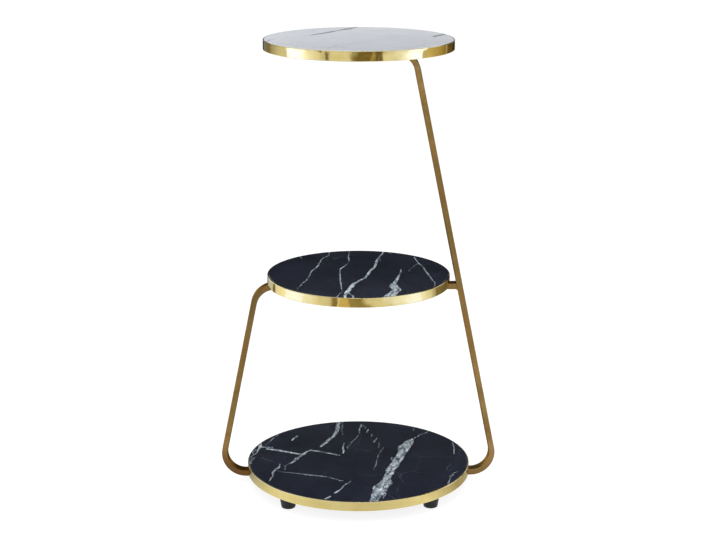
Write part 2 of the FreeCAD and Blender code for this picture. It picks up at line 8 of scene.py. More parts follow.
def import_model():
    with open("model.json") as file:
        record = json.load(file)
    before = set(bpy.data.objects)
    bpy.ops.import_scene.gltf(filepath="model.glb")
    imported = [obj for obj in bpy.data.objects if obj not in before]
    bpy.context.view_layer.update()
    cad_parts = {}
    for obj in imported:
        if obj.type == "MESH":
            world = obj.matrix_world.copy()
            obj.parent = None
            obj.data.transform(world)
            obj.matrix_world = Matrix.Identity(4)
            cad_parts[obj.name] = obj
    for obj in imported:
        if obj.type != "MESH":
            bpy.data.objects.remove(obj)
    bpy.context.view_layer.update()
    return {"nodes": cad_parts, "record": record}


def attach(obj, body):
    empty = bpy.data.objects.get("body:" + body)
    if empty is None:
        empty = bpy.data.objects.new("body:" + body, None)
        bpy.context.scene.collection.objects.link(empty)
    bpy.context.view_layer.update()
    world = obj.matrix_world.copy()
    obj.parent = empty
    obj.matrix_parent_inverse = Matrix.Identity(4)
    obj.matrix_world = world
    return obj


# Tiered side table: looks, studio and camera. Metres, +Z up, origin on the floor under the tiers.
# Materials are written in millimetres. Colours are linear red, green and blue.

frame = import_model()
NODES = frame["nodes"]
TIERS = ("top", "middle", "bottom")
MM = 0.001


def link(item):
    """Put a new object in the scene."""
    bpy.context.scene.collection.objects.link(item)
    return item


def dress(piece, material):
    """Give a piece one material over all its faces."""
    piece.data.materials.clear()
    piece.data.materials.append(material)


# ---------------------------------------------------------------------------------------------
# Node helpers
# ---------------------------------------------------------------------------------------------


class Shader:
    """The node tree of a material or world, with short calls that add a node and return its output."""

    def __init__(self, owner):
        owner.use_nodes = True
        self.owner = owner
        self.tree = owner.node_tree
        self.tree.nodes.clear()

    def put(self, kind, inputs=None, **settings):
        """Add a node. Settings are its own properties, inputs its sockets by name or number."""
        node = self.tree.nodes.new(f"ShaderNode{kind}")
        for name, value in settings.items():
            setattr(node, name, value)
        for name, value in (inputs or {}).items():
            self.feed(node.inputs[name], value)
        return node

    def feed(self, socket, value):
        """Link a socket to an output, or set the value it holds."""
        if isinstance(value, bpy.types.NodeSocket):
            self.tree.links.new(value, socket)
        elif socket.type == "RGBA" and len(value) == 3:
            socket.default_value = (*value, 1.0)
        else:
            socket.default_value = value

    def math(self, operation, first, second=0.0, third=0.0):
        """One number from up to three."""
        terms = {0: first, 1: second, 2: third}
        return self.put("Math", terms, operation=operation).outputs[0]

    def vector(self, operation, first, second=(0.0, 0.0, 0.0)):
        """A vector, or its length, from a vector and a second vector or a scale."""
        node = self.put("VectorMath", operation=operation)
        self.feed(node.inputs[0], first)
        self.feed(node.inputs["Scale" if operation == "SCALE" else 1], second)
        return node.outputs["Value" if operation == "LENGTH" else "Vector"]

    def millimetres(self):
        """Position on the part, in millimetres."""
        return self.vector("SCALE", self.put("TexCoord").outputs["Object"], 1 / MM)

    def turn(self, vector, degrees):
        """Vector turned about the upright axis."""
        values = {"Vector": vector, "Angle": math.radians(degrees)}
        return self.put("VectorRotate", values, rotation_type="Z_AXIS").outputs[0]

    def split(self, vector):
        return self.put("SeparateXYZ", {0: vector}).outputs

    def join(self, x=0.0, y=0.0, z=0.0):
        return self.put("CombineXYZ", {0: x, 1: y, 2: z}).outputs[0]

    def noise(self, vector, size, detail=3.0, rough=0.55, colour=False):
        """Fractal noise, mostly 0.3 to 0.7, whose largest features are about size millimetres."""
        values = {"Vector": vector, "Scale": 1 / size, "Detail": detail, "Roughness": rough}
        return self.put("TexNoise", values).outputs["Color" if colour else "Fac"]

    def cell_edges(self, vector, size):
        """Distance to the nearest edge of cells about size millimetres wide, as a share of size."""
        values = {"Vector": vector, "Scale": 1 / size, "Randomness": 1.0}
        return self.put("TexVoronoi", values, feature="DISTANCE_TO_EDGE").outputs["Distance"]

    def remap(self, value, low, high, out_low=0.0, out_high=1.0, smooth=False):
        """Value mapped from the range low to high to the range of the outs, and held at its ends."""
        values = {0: value, 1: low, 2: high, 3: out_low, 4: out_high}
        kind = "SMOOTHSTEP" if smooth else "LINEAR"
        return self.put("MapRange", values, interpolation_type=kind).outputs[0]

    def mix(self, factor, first, second):
        """Colour between two others."""
        return self.put("Mix", {0: factor, 6: first, 7: second}, data_type="RGBA").outputs[2]

    def bump(self, height, distance, normal=None):
        """Bump from a height of 0 to 1 that stands for a distance in millimetres."""
        values = {"Height": height, "Distance": distance * MM, "Strength": 1.0}
        if normal:
            values["Normal"] = normal
        return self.put("Bump", values).outputs[0]

    def finish(self, **sockets):
        """Close a material with a principled surface, its sockets named with _ for a space."""
        surface = self.put("BsdfPrincipled", {n.replace("_", " "): v for n, v in sockets.items()})
        self.put("OutputMaterial", {"Surface": surface.outputs[0]})
        return self.owner


def material_shader(name):
    return Shader(bpy.data.materials.new(name))


def curve(shader, value, points):
    """Float curve through points whose two numbers both run from 0 to 1."""
    node = shader.put("FloatCurve", {"Value": value})
    line = node.mapping.curves[0]
    line.points[0].location = points[0]
    line.points[1].location = points[-1]
    for place in points[1:-1]:
        line.points.new(*place)
    for point in line.points:
        point.handle_type = "AUTO_CLAMPED"
    node.mapping.update()
    return node.outputs[0]


# ---------------------------------------------------------------------------------------------
# Marble. A vein is a strength, then its stops, in millimetres on the board: where along it,
# where across, and its width.
# ---------------------------------------------------------------------------------------------

# These run from front to back: where in y, where in x, and the width.
MIDDLE_VEINS = [
    # Two thin veins on the left.
    (0.80, [
        (150, -49, 1.6), (120, -50, 2), (100, -59, 1.8), (70, -65, 1.8), (40, -70, 2.3),
        (15, -78, 2.1), (-20, -82, 2.3), (-40, -86, 1.6), (-60, -92, 2.2), (-85, -98, 1.8),
        (-97, -101, 1),
    ]),
    (1.05, [
        (149, -14, 1.4), (100, -15, 1.8), (75, -15, 1.2), (55, -20, 1.4), (25, -30, 2.0),
        (-20, -31, 1.9), (-60, -30, 1.8), (-100, -29, 1.7), (-108, -28.5, 1), (-125, -32, 1.4),
        (-152, -37, 1.6),
    ]),
    # The long vein across the middle, its fork at the front and a twig.
    (1.60, [
        (145, 45, 2.5), (125, 43, 3), (102, 37, 3), (75, 32, 4.5), (50, 29, 4), (20, 22, 4),
        (-15, 14, 4.5), (-30, 10, 4), (-48, 1, 4.5), (-65, -8, 5.5), (-80, -12, 6.5),
        (-100, -16, 6.5), (-118, -21, 7), (-132, -23.5, 5), (-152, -24, 3),
    ]),
    (0.90, [(-116, -19, 1), (-130, -16, 2.5), (-140, -12, 2.5), (-152, -11, 2)]),
    (0.40, [(98, 38, 1.5), (75, 39, 1)]),
    # The broad vein that widens to the front.
    (1.00, [
        (22, 72, 1), (5, 71, 2.5), (-20, 66, 3), (-45, 62, 5), (-62, 59, 7), (-72, 56, 10),
        (-85, 56, 15), (-95, 59, 14), (-105, 60, 15), (-120, 55, 15), (-152, 46, 18),
    ]),
    # The vein on the right and its faint branch.
    (0.98, [
        (106, 99, 1.2), (75, 102, 1.8), (58, 105, 2), (40, 110, 2), (10, 113, 2.4), (-20, 117, 2.3),
        (-50, 122, 2.0), (-65, 124, 1.7), (-85, 122, 1.7), (-102, 119, 1.5),
    ]),
    (0.30, [(64, 103, 1.5), (45, 95, 2), (8, 85, 2)]),
    # Two dashes at the back.
    (0.50, [(122, -102, 3), (108, -99, 3), (98, -97, 1)]),
    (0.30, [(142, 55, 2), (128, 58, 1)]),
]

BOTTOM_VEINS = [
    # The widest vein, the thread that leads to it and one beside it.
    (0.75, [(134, 128, 1.2), (128, 125, 2.2), (118, 116, 2.6), (110, 109, 2.4), (98, 102, 2)]),
    (1.00, [
        (94, 97, 4), (88, 94, 11), (80, 91, 15), (70, 88, 18), (60, 83, 20), (50, 80.5, 20.5),
        (40, 79, 18), (30, 77, 15.5), (20, 74.5, 15), (10, 72, 16), (0, 69, 17.5),
        (-10, 66.5, 16.5), (-20, 63.5, 14.5), (-30, 61, 17), (-40, 57.5, 16.5), (-50, 54, 16),
        (-60, 52.5, 14), (-70, 51, 13.5), (-80, 47.5, 13), (-90, 46, 13.5), (-100, 44.5, 18),
        (-110, 43, 23), (-120, 38, 24.5), (-130, 35, 25.5), (-140, 33, 22.5), (-150, 30.5, 21),
        (-160, 28.5, 19), (-170, 25.5, 17), (-180, 23.5, 15.5), (-190, 21.5, 15),
    ]),
    (0.55, [(-138, 44, 1), (-150, 42, 2), (-162, 40, 2.2), (-176, 37.5, 1.5)]),
    # From the back edge towards the left, with a faint companion.
    (1.00, [
        (190, -34, 8), (170, -34, 7.5), (150, -35, 8), (135, -37, 7), (120, -40, 5.5),
        (110, -43, 5), (100, -48, 5.5), (88, -53, 6), (76, -58, 6), (66, -62.5, 5), (58, -65, 2.5),
    ]),
    (0.32, [(190, -26, 4), (160, -26, 3), (145, -27, 2), (120, -26, 1.5)]),
    # The arch at the back: its left side, then the dashes of its right side.
    (0.76, [(173, 8, 2), (165, 8, 3.5), (150, 5, 2.5), (125, 4, 1.5)]),
    (0.35, [(125, 4, 2), (100, -3, 3), (75, -12, 3), (45, -18, 1.5)]),
    (0.50, [(168, 11, 1), (160, 14, 2.5), (150, 15, 1)]),
    (0.60, [(147, 20, 1), (138, 19, 3), (128, 17, 1)]),
    (0.40, [(124, 26, 1), (115, 26, 2), (106, 25, 1)]),
    (0.70, [(101, 34, 1), (92, 32, 3), (84, 30, 3), (76, 28, 1)]),
    (0.30, [(80, 38, 1), (66, 38, 2), (52, 36, 1)]),
    (0.46, [
        (54, 44, 1), (45, 42, 2.2), (32, 38, 2.2), (10, 34, 1.6), (-15, 31, 1.5), (-35, 28, 1.2),
        (-50, 26, 1),
    ]),
    # Dashes by the widest vein, at the middle and at the back left.
    (0.40, [(8, 58, 1), (0, 57, 3), (-8, 58, 1)]),
    (1.05, [(78, -23.5, 1), (62, -25, 1.6), (48, -26, 2.4), (36, -24.5, 2.9), (26, -26, 1.5)]),
    (1.30, [(115, -108, 2), (108, -109.5, 4.2), (99, -114.5, 3.2), (90, -116, 1)]),
    # The slanting vein on the left, and what it becomes in front.
    (0.90, [
        (43, -81, 3), (36, -88, 5), (28, -93, 5.5), (18, -98.5, 5), (8, -104, 5), (-4, -109, 5.5),
        (-14, -115, 5), (-24, -121, 3), (-28, -123, 1.2),
    ]),
    (0.45, [(-28, -125, 1.5), (-40, -125.5, 2.2), (-50, -126, 1.2)]),
    (1.12, [
        (-22, -134, 1.5), (-32, -135.5, 3.4), (-42, -138, 4.2), (-52, -143, 3.4),
        (-62, -145.5, 3.8), (-72, -144.5, 2.4), (-82, -146.5, 2), (-98, -149, 1.5),
    ]),
    # At the front, down to the rim.
    (0.45, [(-92, -13, 0.8), (-104, -16, 1.6)]),
    (1.12, [
        (-103, -16, 1), (-108, -18.5, 3.5), (-116, -24, 3), (-126, -28, 2.2), (-136, -32, 2.2),
        (-142, -35, 3.6), (-148, -38, 4.4), (-154, -42, 1.5),
    ]),
    (0.85, [(-164, -48, 1.2), (-169, -51, 5), (-173, -54, 7), (-177, -57, 4)]),
    # Along the left rim, and the patch on it.
    (0.48, [
        (138, -135, 1.2), (124, -141, 2.5), (116, -143, 2), (106, -148, 2.8), (96, -152, 2.2),
        (84, -158, 2.6), (70, -163, 2.2), (62, -166, 1.2),
    ]),
    (1.10, [
        (92, -178, 3), (82, -174.5, 6), (72, -172.5, 7), (62, -171, 6), (54, -172, 4),
        (46, -174.5, 3), (36, -176, 1.2),
    ]),
    (0.60, [(56, -182, 1), (48, -179, 2.5), (40, -181.5, 3.5), (32, -184, 3), (25, -182, 1.5)]),
    (0.45, [(36, -175, 1), (29, -178, 3), (20, -182, 3.5), (12, -184.5, 3), (4, -184, 1.5)]),
    (0.26, [(14, -177, 1), (4, -181, 4), (-8, -184, 5), (-22, -185, 2)]),
    # At the back right and along the right rim.
    (0.40, [(155, 104, 2), (135, 102, 1.5)]),
    (0.65, [(78, 168.2, 1.3), (50, 168.5, 2.4), (20, 167, 1)]),
    (0.15, [(-25, 156, 1.5), (-50, 150, 2)]),
    (1.00, [
        (-58, 168, 1), (-66, 161, 2.2), (-78, 155.5, 5), (-88, 153, 2.6), (-100, 151, 2),
        (-110, 149.5, 4), (-126, 146, 3),
    ]),
]

TOP_STREAKS = [
    # The long streak at the back left, in two parts, and what runs beside it.
    (1.00, [
        (38, -78, 3), (50, -71, 10), (62, -61, 12), (74, -51, 12), (86, -44, 10), (98, -36, 8),
        (106, -31, 4),
    ]),
    (1.00, [
        (100, -33, 3), (110, -27, 9), (120, -22, 11), (132, -14, 11), (142, -7, 9), (152, -2, 5),
    ]),
    (0.50, [(104, -17, 3), (118, -13, 7), (130, -10, 5), (138, -6, 3)]),
    (0.30, [(6, -118, 3), (22, -100, 6), (36, -84, 7), (42, -76, 4)]),
    # At the right rim, at the left rim, and two faint ones across.
    (0.95, [(14, 121, 2), (26, 126, 9), (38, 133, 12), (50, 141, 11), (62, 147, 8), (72, 150, 5)]),
    (0.60, [(-52, -150, 3), (-38, -148, 7), (-22, -143, 4), (-8, -136, 2)]),
    (0.14, [(-120, -60, 3), (-80, -20, 6), (-30, 22, 6), (30, 70, 7), (70, 108, 4)]),
    (0.10, [(-100, 40, 3), (-50, 80, 6), (-20, 112, 4)]),
]

# These run from side to side: where in x, where in y, and the width.
BOTTOM_CROSS_VEINS = [
    # The two long veins from the left, and a short one over the first.
    (1.75, [
        (-160, 49, 4), (-150, 46, 6.5), (-140, 43, 6.5), (-130, 37.5, 6), (-120, 33.5, 6),
        (-108, 27.5, 5.5), (-97, 23, 4.5), (-92, 22, 2),
    ]),
    (0.80, [(-172, 58, 4), (-160, 57.5, 5), (-148, 57, 4)]),
    (1.15, [
        (-86, 42, 1), (-80, 41, 4.5), (-68, 36.5, 4.5), (-56, 31, 4), (-44, 24, 3.5), (-32, 18, 3),
    ]),
    # The vein across the front left, and a faint one.
    (0.58, [
        (-142, -52, 1), (-130, -58, 1.7), (-115, -62, 2.1), (-98, -66.5, 3), (-85, -71, 5.5),
        (-72, -75.5, 5), (-60, -78.5, 4), (-50, -83, 1.5), (-46, -87, 3.5), (-38, -93, 3),
        (-28, -99, 1.5),
    ]),
    (0.09, [(-172, 8, 1), (-155, -4, 2.5), (-142, -14, 2.5), (-136, -20, 1.5)]),
]

# A vein's two curves run over its length, with a margin at both ends. One holds its centre, up to
# the half span to either side of the middle. The other holds its half width, which falls to this
# depth below nothing where the vein is buried.
CURVE_MARGIN = 0.02
CURVE_RUN = 1 - 2 * CURVE_MARGIN
HALF_SPAN = 200.0
BURIED = 2.0


def vein(shader, along, across, stops, softness):
    """Mask of one vein: its width is taken square to along, and past its ends it is buried."""
    stops = sorted(stops)
    first, last = stops[0][0], stops[-1][0]
    widest = max(width for _, _, width in stops)
    centre_points, width_points = [], []
    for run, side, width in stops:
        place = CURVE_MARGIN + CURVE_RUN * (run - first) / (last - first)
        centre_points.append((place, (side + HALF_SPAN) / (2 * HALF_SPAN)))
        width_points.append((place, (width / 2 + BURIED) / (widest + BURIED)))
    margin = (last - first) / CURVE_RUN * CURVE_MARGIN
    centre_points = [(0, centre_points[0][1]), *centre_points, (1, centre_points[-1][1])]
    width_points = [(0, 0), *width_points, (1, 0)]
    place = shader.remap(along, first - margin, last + margin)
    centre = curve(shader, place, centre_points)
    centre = shader.math("MULTIPLY_ADD", centre, 2 * HALF_SPAN, -HALF_SPAN)
    half = shader.math("MULTIPLY_ADD", curve(shader, place, width_points), widest + BURIED, -BURIED)
    distance = shader.math("ABSOLUTE", shader.math("SUBTRACT", across, centre))
    depth = shader.math("SUBTRACT", half, distance)
    return shader.remap(depth, -softness, softness, smooth=True)


def veins(shader, place, table, softness, crosswise=False):
    """Masks of a table of veins together, each at its own strength."""
    x, y, _ = shader.split(place)
    along, across = (x, y) if crosswise else (y, x)
    total = None
    for strength, stops in table:
        mask = shader.math("MULTIPLY", vein(shader, along, across, stops, softness), strength)
        total = mask if total is None else shader.math("MAXIMUM", total, mask)
    return total


def wander(shader, place, amounts):
    """Place shifted by noise: pairs of a feature size and how far it shifts, in millimetres."""
    for size, reach in amounts:
        shift = shader.vector("SUBTRACT", shader.noise(place, size, 2.0, 0.5, colour=True), (0.5, 0.5, 0.5))
        place = shader.vector("ADD", place, shader.vector("SCALE", shift, 2 * reach))
    return place


BLACK_GROUND = (0.0052, 0.0068, 0.0158)
NAVY_GROUND = (0.0163, 0.0202, 0.0378)
GROUND_SPECK = (0.034, 0.040, 0.060)
VEIN_HALO = (0.15, 0.20, 0.26)
VEIN_BLUE = (0.54, 0.64, 0.74)
VEIN_WHITE = (0.86, 0.95, 1.00)


def vein_crystal(s, bent):
    """Brightness within a vein: leaning grains between winding cracks, pepper along them, and clouds.

    Returns that, and the clouds on their own.
    """
    leaning = s.turn(bent, 15)
    stretched = s.vector("MULTIPLY", leaning, (1.0, 0.24, 1.0))
    crack = s.math("ABSOLUTE", s.math("SUBTRACT", s.noise(stretched, 15.0, 4.0, 0.60), 0.5))
    crack = s.remap(crack, 0.004, 0.040, 0.08, 1.0, smooth=True)
    seam = s.cell_edges(wander(s, stretched, [(9.0, 4.0), (2.5, 1.0)]), 10.0)
    seam = s.math("MULTIPLY", s.remap(seam, 0.01, 0.10, 0.30, 1.0, smooth=True), crack)
    pepper = s.remap(s.noise(stretched, 1.6, 3.0, 0.7), 0.34, 0.50, 0.62, 1.0)
    streak = s.noise(s.vector("MULTIPLY", leaning, (1.0, 0.12, 1.0)), 5.0, 3.0, 0.6)
    streak = s.remap(streak, 0.36, 0.54, 0.62, 1.0)
    cloud = s.remap(s.noise(bent, 9.0, 4.0, 0.65), 0.36, 0.56, 0.45, 1.0)
    crystal = s.math("MULTIPLY", s.math("MULTIPLY", cloud, streak), s.math("MULTIPLY", seam, pepper))
    return crystal, cloud


def black_marble(name, table, cross_table):
    """Navy-black marble with placed white veins, hairlines and cloudy ground, polished."""
    s = material_shader(name)
    place = s.millimetres()
    bent = wander(s, place, [(34.0, 1.8), (11.0, 1.7), (4.2, 1.0)])
    mask = veins(s, bent, table, 0.55)
    if cross_table:
        mask = s.math("MAXIMUM", mask, veins(s, bent, cross_table, 0.9, crosswise=True))
    crystal, cloud = vein_crystal(s, bent)
    body = s.math("MULTIPLY", mask, crystal)

    # Hairlines: the edges of large bent cells, let through in patches.
    hair = s.cell_edges(wander(s, place, [(40.0, 16.0), (9.0, 2.0)]), 62.0)
    hair = s.remap(hair, 0.0, 0.011, 1.0, 0.0, smooth=True)
    patches = s.remap(s.noise(place, 70.0, 2.0), 0.50, 0.64)
    hair = s.math("MULTIPLY", s.math("MULTIPLY", hair, patches), 0.07)

    milk = s.remap(s.noise(wander(s, place, [(60.0, 20.0)]), 55.0, 5.0, 0.6), 0.3, 0.75)
    ground = s.mix(milk, BLACK_GROUND, NAVY_GROUND)
    speck = s.remap(s.noise(place, 1.1, 2.0, 0.6), 0.60, 0.78, 0.0, 0.5)
    ground = s.mix(speck, ground, GROUND_SPECK)
    halo = s.math("MULTIPLY", s.math("MULTIPLY", mask, 0.30), cloud)
    ground = s.mix(halo, ground, VEIN_HALO)
    tint = s.mix(s.remap(s.noise(bent, 16.0, 3.0), 0.36, 0.62), VEIN_BLUE, VEIN_WHITE)
    colour = s.mix(s.math("MAXIMUM", body, hair), ground, tint)

    # The marks that polishing left, faint and fine, and pits where a vein is crystalline.
    rub = s.noise(s.vector("MULTIPLY", place, (1.0, 0.06, 1.0)), 1.6, 2.0, 0.6)
    rough = s.remap(rub, 0.3, 0.7, 0.15, 0.21)
    rough = s.math("ADD", rough, s.math("MULTIPLY", body, 0.08))
    ripple = s.bump(s.noise(place, 26.0, 2.0), 0.02)
    pits = s.bump(s.math("MULTIPLY", s.noise(place, 0.9, 3.0, 0.7), mask), 0.02, ripple)
    return s.finish(Base_Color=colour, Roughness=rough, Normal=pits, IOR=1.5, Specular_IOR_Level=0.35)


COOL_WHITE = (0.676, 0.705, 0.747)
CLEAR_WHITE = (0.747, 0.766, 0.799)
CRYSTAL_WHITE = (0.76, 0.77, 0.79)
FRONT_SHADE_GREY = (0.450, 0.478, 0.510)
STREAK_GREY = (0.120, 0.116, 0.126)
STREAK_BROWN = (0.190, 0.162, 0.160)


def white_marble(name):
    """White marble: soft grey-brown streaks, faint clouds, fine crystal, and painted shade towards the
    front right.
    """
    s = material_shader(name)
    place = s.millimetres()
    bent = wander(s, place, [(38.0, 3.0), (10.0, 1.8), (3.0, 0.7)])
    grain = s.remap(s.noise(bent, 5.0, 4.0, 0.7), 0.32, 0.62, 0.45, 1.0)
    mask = s.math("MULTIPLY", veins(s, bent, TOP_STREAKS, 2.2), grain)

    # Thin veins at a slant that come and go.
    slant = wander(s, s.turn(place, -35), [(55.0, 22.0), (12.0, 3.0)])
    lines = s.cell_edges(s.vector("MULTIPLY", slant, (1.0, 0.45, 1.0)), 58.0)
    lines = s.remap(lines, 0.0, 0.02, 1.0, 0.0, smooth=True)
    patches = s.remap(s.noise(place, 80.0, 2.0), 0.45, 0.65)
    lines = s.math("MULTIPLY", s.math("MULTIPLY", lines, patches), 0.30)

    clouds = s.remap(s.noise(slant, 75.0, 5.0, 0.55), 0.32, 0.68)
    ground = s.mix(clouds, COOL_WHITE, CLEAR_WHITE)
    crystal = s.remap(s.noise(place, 1.3, 2.0, 0.6), 0.35, 0.7, 0.0, 0.25)
    ground = s.mix(crystal, ground, CRYSTAL_WHITE)
    # Painted shade: the ground greys towards the front right.
    painted_front_shade = s.remap(s.split(slant)[1], 85.0, -150.0, 0.0, 0.46)
    ground = s.mix(painted_front_shade, ground, FRONT_SHADE_GREY)
    streak = s.mix(s.noise(place, 45.0, 2.0), STREAK_GREY, STREAK_BROWN)
    colour = s.mix(s.math("MAXIMUM", mask, lines), ground, streak)

    rub = s.noise(s.vector("MULTIPLY", place, (0.06, 1.0, 1.0)), 1.6, 2.0, 0.6)
    rough = s.remap(rub, 0.3, 0.7, 0.17, 0.24)
    ripple = s.bump(s.noise(place, 24.0, 2.0), 0.02)
    return s.finish(Base_Color=colour, Roughness=rough, Normal=ripple, IOR=1.5, Specular_IOR_Level=0.4)


# ---------------------------------------------------------------------------------------------
# Metals, panel, rubber and plastic
# ---------------------------------------------------------------------------------------------


def edge_zone(shader, axis):
    """1 on the rounded edges between faces square to an axis and faces along it, 0 on both."""
    normal = shader.split(shader.put("NewGeometry").outputs["Normal"])[axis]
    part = shader.math("ABSOLUTE", normal)
    arch = shader.math("MULTIPLY", part, shader.math("SUBTRACT", 1.0, part))
    return shader.remap(arch, 0.03, 0.22, smooth=True)


DEEP_PLATE = (0.60, 0.475, 0.185)
CLEAR_PLATE = (0.68, 0.555, 0.245)
PALE_PLATE = (0.72, 0.63, 0.34)
RIM_HIGHLIGHT_PLATE = (0.90, 0.82, 0.58)


def polished_gold():
    """Plated strip, polished round its ring: hair scratches, pale streaks, a painted highlight on the rims,
    which are also dulled.
    """
    s = material_shader("polished_gold")
    place = s.millimetres()
    x, y, z = s.split(place)
    radius = s.vector("LENGTH", s.join(x, y))
    angle = s.math("ARCTAN2", y, x)
    round_ring = s.join(s.math("MULTIPLY", angle, 4.0), s.math("MULTIPLY", radius, 0.6), z)
    lines = s.noise(s.vector("MULTIPLY", round_ring, (0.7, 1.0, 1.0)), 0.5, 3.0, 0.6)
    streaks = s.noise(round_ring, 2.2, 2.0, 0.5)
    smear = s.noise(place, 22.0, 4.0, 0.6)
    rim = edge_zone(s, 2)
    worn = s.math("MULTIPLY", rim, s.remap(s.noise(place, 9.0, 4.0, 0.65), 0.42, 0.66))
    colour = s.mix(s.remap(smear, 0.3, 0.7), DEEP_PLATE, CLEAR_PLATE)
    colour = s.mix(s.remap(streaks, 0.36, 0.64, 0.0, 0.30), colour, PALE_PLATE)
    # Painted highlight: the rims are paled towards light gold.
    colour = s.mix(s.math("MULTIPLY", rim, 0.60), colour, RIM_HIGHLIGHT_PLATE)
    rough = s.remap(smear, 0.3, 0.7, 0.050, 0.085)
    rough = s.math("ADD", rough, s.remap(lines, 0.35, 0.7, 0.0, 0.03))
    rough = s.math("ADD", rough, s.math("MULTIPLY", worn, 0.12))
    wave = s.bump(s.noise(s.vector("MULTIPLY", place, (1.0, 1.0, 0.9)), 26.0, 1.0), 0.50)
    fine = s.bump(lines, 0.0012, wave)
    return s.finish(Base_Color=colour, Roughness=rough, Metallic=1.0, Normal=fine)


WARM_DARK = (0.262, 0.146, 0.045)
WARM_LIGHT = (0.335, 0.200, 0.074)
OLIVE_DARK = (0.218, 0.138, 0.043)
OLIVE_LIGHT = (0.290, 0.194, 0.072)
BRUSH_DARK = (0.150, 0.090, 0.028)
CORNER_HIGHLIGHT_GOLD = (0.46, 0.33, 0.145)
TUBE_SPECK = (0.15, 0.095, 0.04)
GRAZING_TINT = (0.80, 0.55, 0.32)

# Painted shade and painted highlight at four places on the tube: shade low down by the foot
# and at the left shoulder, highlight on the right bend and at the head of the post. Each is two
# heights and two places in x between which it sets in, how far it goes, and the tint.
PAINTED_TUBE_LIGHT_AND_SHADE = {
    "foot, most on the left": ((75.0, 32.0), (120.0, -150.0), 0.80, (0.150, 0.070, 0.026)),
    "right bend": ((90.0, 60.0), (150.0, 215.0), 0.55, (0.46, 0.30, 0.14)),
    "left shoulder": ((235.0, 300.0), (-150.0, -165.0), 0.50, (0.165, 0.120, 0.052)),
    "head of the post": ((655.0, 700.0), (90.0, 110.0), 0.24, (0.46, 0.33, 0.145)),
}


def satin_gold():
    """Satin antique-gold plating on tube: brushed along, darker in patches, painted highlights on the
    corners, and painted light and shade at four places.
    """
    s = material_shader("satin_gold")
    place = s.millimetres()
    brushed = s.noise(s.vector("MULTIPLY", place, (0.12, 1.0, 0.12)), 0.35, 3.0, 0.65)
    patina = s.remap(s.noise(place, 38.0, 5.0, 0.6), 0.34, 0.68)
    # Painted highlight on the corners, in patches.
    corner_highlight = s.remap(s.noise(place, 14.0, 4.0, 0.6), 0.38, 0.62, 0.25, 1.0)
    corner_highlight = s.math("MULTIPLY", edge_zone(s, 1), corner_highlight)
    hue = s.remap(s.noise(place, 62.0, 3.0, 0.5), 0.38, 0.60)
    warm = s.mix(patina, WARM_DARK, WARM_LIGHT)
    olive = s.mix(patina, OLIVE_DARK, OLIVE_LIGHT)
    colour = s.mix(hue, warm, olive)
    colour = s.mix(s.remap(brushed, 0.35, 0.7, 0.0, 0.25), colour, BRUSH_DARK)
    colour = s.mix(s.math("MULTIPLY", corner_highlight, 0.5), colour, CORNER_HIGHLIGHT_GOLD)
    speck = s.remap(s.noise(place, 1.6, 2.0, 0.6), 0.66, 0.76, 0.0, 0.5)
    colour = s.mix(speck, colour, TUBE_SPECK)
    x, _, z = s.split(place)
    # Painted light and shade at the four places.
    for heights, sides, amount, tint in PAINTED_TUBE_LIGHT_AND_SHADE.values():
        share = s.math("MULTIPLY", s.remap(z, *heights), s.remap(x, *sides, 0.0, amount))
        colour = s.mix(share, colour, tint)
    rough = s.remap(patina, 0, 1, 0.42, 0.33)
    rough = s.math("ADD", rough, s.remap(brushed, 0.3, 0.7, -0.03, 0.06))
    relief = s.bump(brushed, 0.004)
    relief = s.bump(s.noise(place, 3.0, 3.0, 0.6), 0.008, relief)
    sockets = {"Base_Color": colour, "Roughness": rough, "Normal": relief, "Specular_Tint": GRAZING_TINT}
    return s.finish(Metallic=1.0, **sockets)


def turned_metal(name, dark, light, roughness, spots):
    """Small hardware: fine turning marks that run level, with dull patches."""
    s = material_shader(name)
    place = s.millimetres()
    ring = s.noise(s.vector("MULTIPLY", place, (1.0, 1.0, 3.0)), 0.4, 3.0, 0.6)
    dull = s.remap(s.noise(place, spots, 4.0, 0.6), 0.36, 0.66)
    colour = s.mix(dull, dark, light)
    colour = s.mix(s.remap(ring, 0.3, 0.7, 0.0, 0.3), colour, dark)
    rough = s.remap(ring, 0.3, 0.7, roughness - 0.05, roughness + 0.08)
    relief = s.bump(ring, 0.006)
    return s.finish(Base_Color=colour, Roughness=rough, Metallic=1.0, Normal=relief)


FIBRE_DARK = (0.018, 0.016, 0.014)
FIBRE_LIGHT = (0.052, 0.046, 0.040)
SEAL_BROWN = (0.030, 0.027, 0.025)


def stained_panel():
    """Fibreboard stained black: short matted fibres, sanded, with a thin uneven seal."""
    s = material_shader("backing_panel")
    place = s.millimetres()
    matted = wander(s, place, [(3.0, 1.6)])
    fibre = s.noise(s.vector("MULTIPLY", matted, (0.22, 1.0, 1.0)), 0.8, 4.0, 0.7)
    patch = s.remap(s.noise(place, 40.0, 4.0, 0.6), 0.3, 0.7)
    colour = s.mix(s.remap(fibre, 0.32, 0.68), FIBRE_DARK, FIBRE_LIGHT)
    colour = s.mix(s.math("MULTIPLY", patch, 0.35), colour, SEAL_BROWN)
    rough = s.remap(fibre, 0.3, 0.7, 0.62, 0.50)
    relief = s.bump(fibre, 0.05)
    return s.finish(Base_Color=colour, Roughness=rough, Normal=relief, Specular_IOR_Level=0.4)


